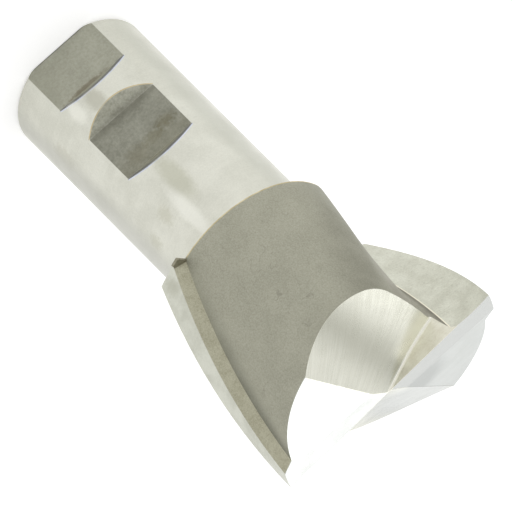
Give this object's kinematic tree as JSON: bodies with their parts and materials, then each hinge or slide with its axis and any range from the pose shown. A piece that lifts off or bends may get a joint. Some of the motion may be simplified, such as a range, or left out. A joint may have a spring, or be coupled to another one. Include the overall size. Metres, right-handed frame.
{
  "type": "square end mill",
  "caption": "Square end mill with a straight shank that has side-lock flats, right-hand helical flutes and gashed centre-cutting end teeth.",
  "frame": {"origin": "centre of the flat end of the shank, on the tool's axis", "axes": "+Z along the tool's axis from the shank end to the cutting end; the two locking flats of the shank face -Y; the tool cuts turning counterclockwise seen from +Z"},
  "size_m": [0.0556, 0.0484, 0.1067],
  "materials": {
    "tool_steel": "ground high-speed steel, fine matte in the flutes"
  },
  "bodies": {
    "root": {"end_mill": "tool_steel"}
  },
  "joints": []
}
